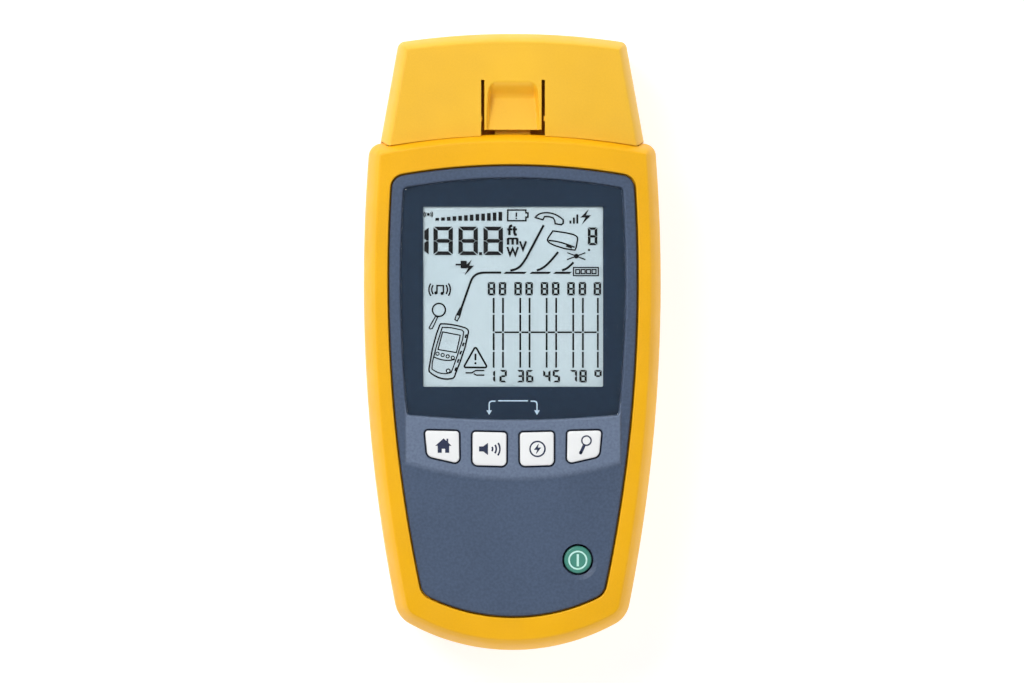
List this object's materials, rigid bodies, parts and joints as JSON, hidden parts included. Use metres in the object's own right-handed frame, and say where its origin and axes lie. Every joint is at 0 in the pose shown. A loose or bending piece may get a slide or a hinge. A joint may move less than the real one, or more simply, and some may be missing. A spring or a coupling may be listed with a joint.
{
  "type": "network cable tester",
  "caption": "Handheld network cable tester with a liquid crystal display, key row, power button, rear battery door and a docked slide-off wiremap adapter with a sprung latch.",
  "frame": {"origin": "on the back, at the middle of the bounding box's bottom", "axes": "+Y along the length from the rounded end to the adapter, +Z from the back to the display, +X to the right as seen from the display side"},
  "size_m": [0.0778, 0.1618, 0.0353],
  "materials": {
    "case_yellow": "satin moulded, fine texture",
    "adapter_yellow": "satin moulded, fine texture",
    "panel_grey": "matt moulded, fine texture",
    "lens": "gloss, printed behind",
    "lcd": "reflective grey liquid crystal",
    "key_white": "satin",
    "power_green": "satin",
    "black_plastic": "matt",
    "white_diffuser": "matt",
    "elastomer": "matt",
    "circuit_board": "solder mask",
    "contact_gold": "plated",
    "steel": "zinc plated",
    "cell_wrap": "printed shrink wrap"
  },
  "bodies": {
    "tester": {"rear_case": "case_yellow", "front_shell": "case_yellow", "front_panel": "panel_grey", "display_lens": "lens", "lcd_glass": "lcd", "lcd_frame": "black_plastic", "keypad_frame": "black_plastic", "connector_plate": "black_plastic", "tester_jack": "black_plastic", "processor_chip": "black_plastic", "line_transformer": "black_plastic", "buzzer": "black_plastic", "lcd_backlight": "white_diffuser", "lcd_connector_strip": "elastomer", "main_board": "circuit_board", "tester_jack_contacts": "contact_gold", "case_screw_1": "steel", "case_screw_2": "steel", "case_screw_3": "steel", "case_screw_4": "steel", "board_screw_1": "steel", "board_screw_2": "steel", "board_screw_3": "steel", "board_screw_4": "steel", "battery_link": "steel", "battery_plate_positive": "steel", "battery_plate_negative": "steel", "battery_spring_left": "steel", "battery_spring_right": "steel", "dome_home": "steel", "dome_tone": "steel", "dome_supply": "steel", "dome_search": "steel", "dome_power": "steel", "cell_left": "cell_wrap", "cell_right": "cell_wrap"},
    "adapter": {"adapter_front_shell": "adapter_yellow", "adapter_rear_shell": "adapter_yellow", "adapter_connector_plate": "black_plastic", "adapter_jack": "black_plastic", "adapter_jack_contacts": "contact_gold", "adapter_board": "circuit_board", "adapter_id_resistors": "black_plastic", "adapter_screw_1": "steel", "adapter_screw_2": "steel"},
    "latch": {"latch_tongue": "adapter_yellow"},
    "home_key": {"key_home": "key_white"},
    "tone_key": {"key_tone": "key_white"},
    "supply_key": {"key_supply": "key_white"},
    "search_key": {"key_search": "key_white"},
    "power_key": {"power_button": "power_green"},
    "door": {"battery_door": "case_yellow"},
    "door_screw": {"battery_door_screw": "steel"}
  },
  "joints": [
    {"name": "adapter_slide", "type": "slide", "parent": "tester", "child": "adapter", "axis": [0, 1, 0], "range_m": [0, 0.04]},
    {"name": "latch_press", "type": "hinge", "parent": "adapter", "child": "latch", "pos_m": [0, 0.0685, 0.031], "axis": [1, 0, 0], "range_deg": [0, 5], "stiffness_Nm_per_rad": 0.75},
    {"name": "home_press", "type": "slide", "parent": "tester", "child": "home_key", "axis": [0, 0, -1], "range_m": [0, 0.0007], "stiffness_N_per_m": 1500},
    {"name": "tone_press", "type": "slide", "parent": "tester", "child": "tone_key", "axis": [0, 0, -1], "range_m": [0, 0.0007], "stiffness_N_per_m": 1500},
    {"name": "supply_press", "type": "slide", "parent": "tester", "child": "supply_key", "axis": [0, 0, -1], "range_m": [0, 0.0007], "stiffness_N_per_m": 1500},
    {"name": "search_press", "type": "slide", "parent": "tester", "child": "search_key", "axis": [0, 0, -1], "range_m": [0, 0.0007], "stiffness_N_per_m": 1500},
    {"name": "power_press", "type": "slide", "parent": "tester", "child": "power_key", "axis": [0, 0, -1], "range_m": [0, 0.0007], "stiffness_N_per_m": 1500},
    {"name": "door_swing", "type": "hinge", "parent": "tester", "child": "door", "pos_m": [0, -0.0018, 0], "axis": [1, 0, 0], "range_deg": [0, 75]},
    {"name": "door_screw_turn", "type": "hinge", "parent": "door", "child": "door_screw", "pos_m": [0, -0.065, 0.001], "axis": [0, 0, 1], "continuous": true}
  ]
}
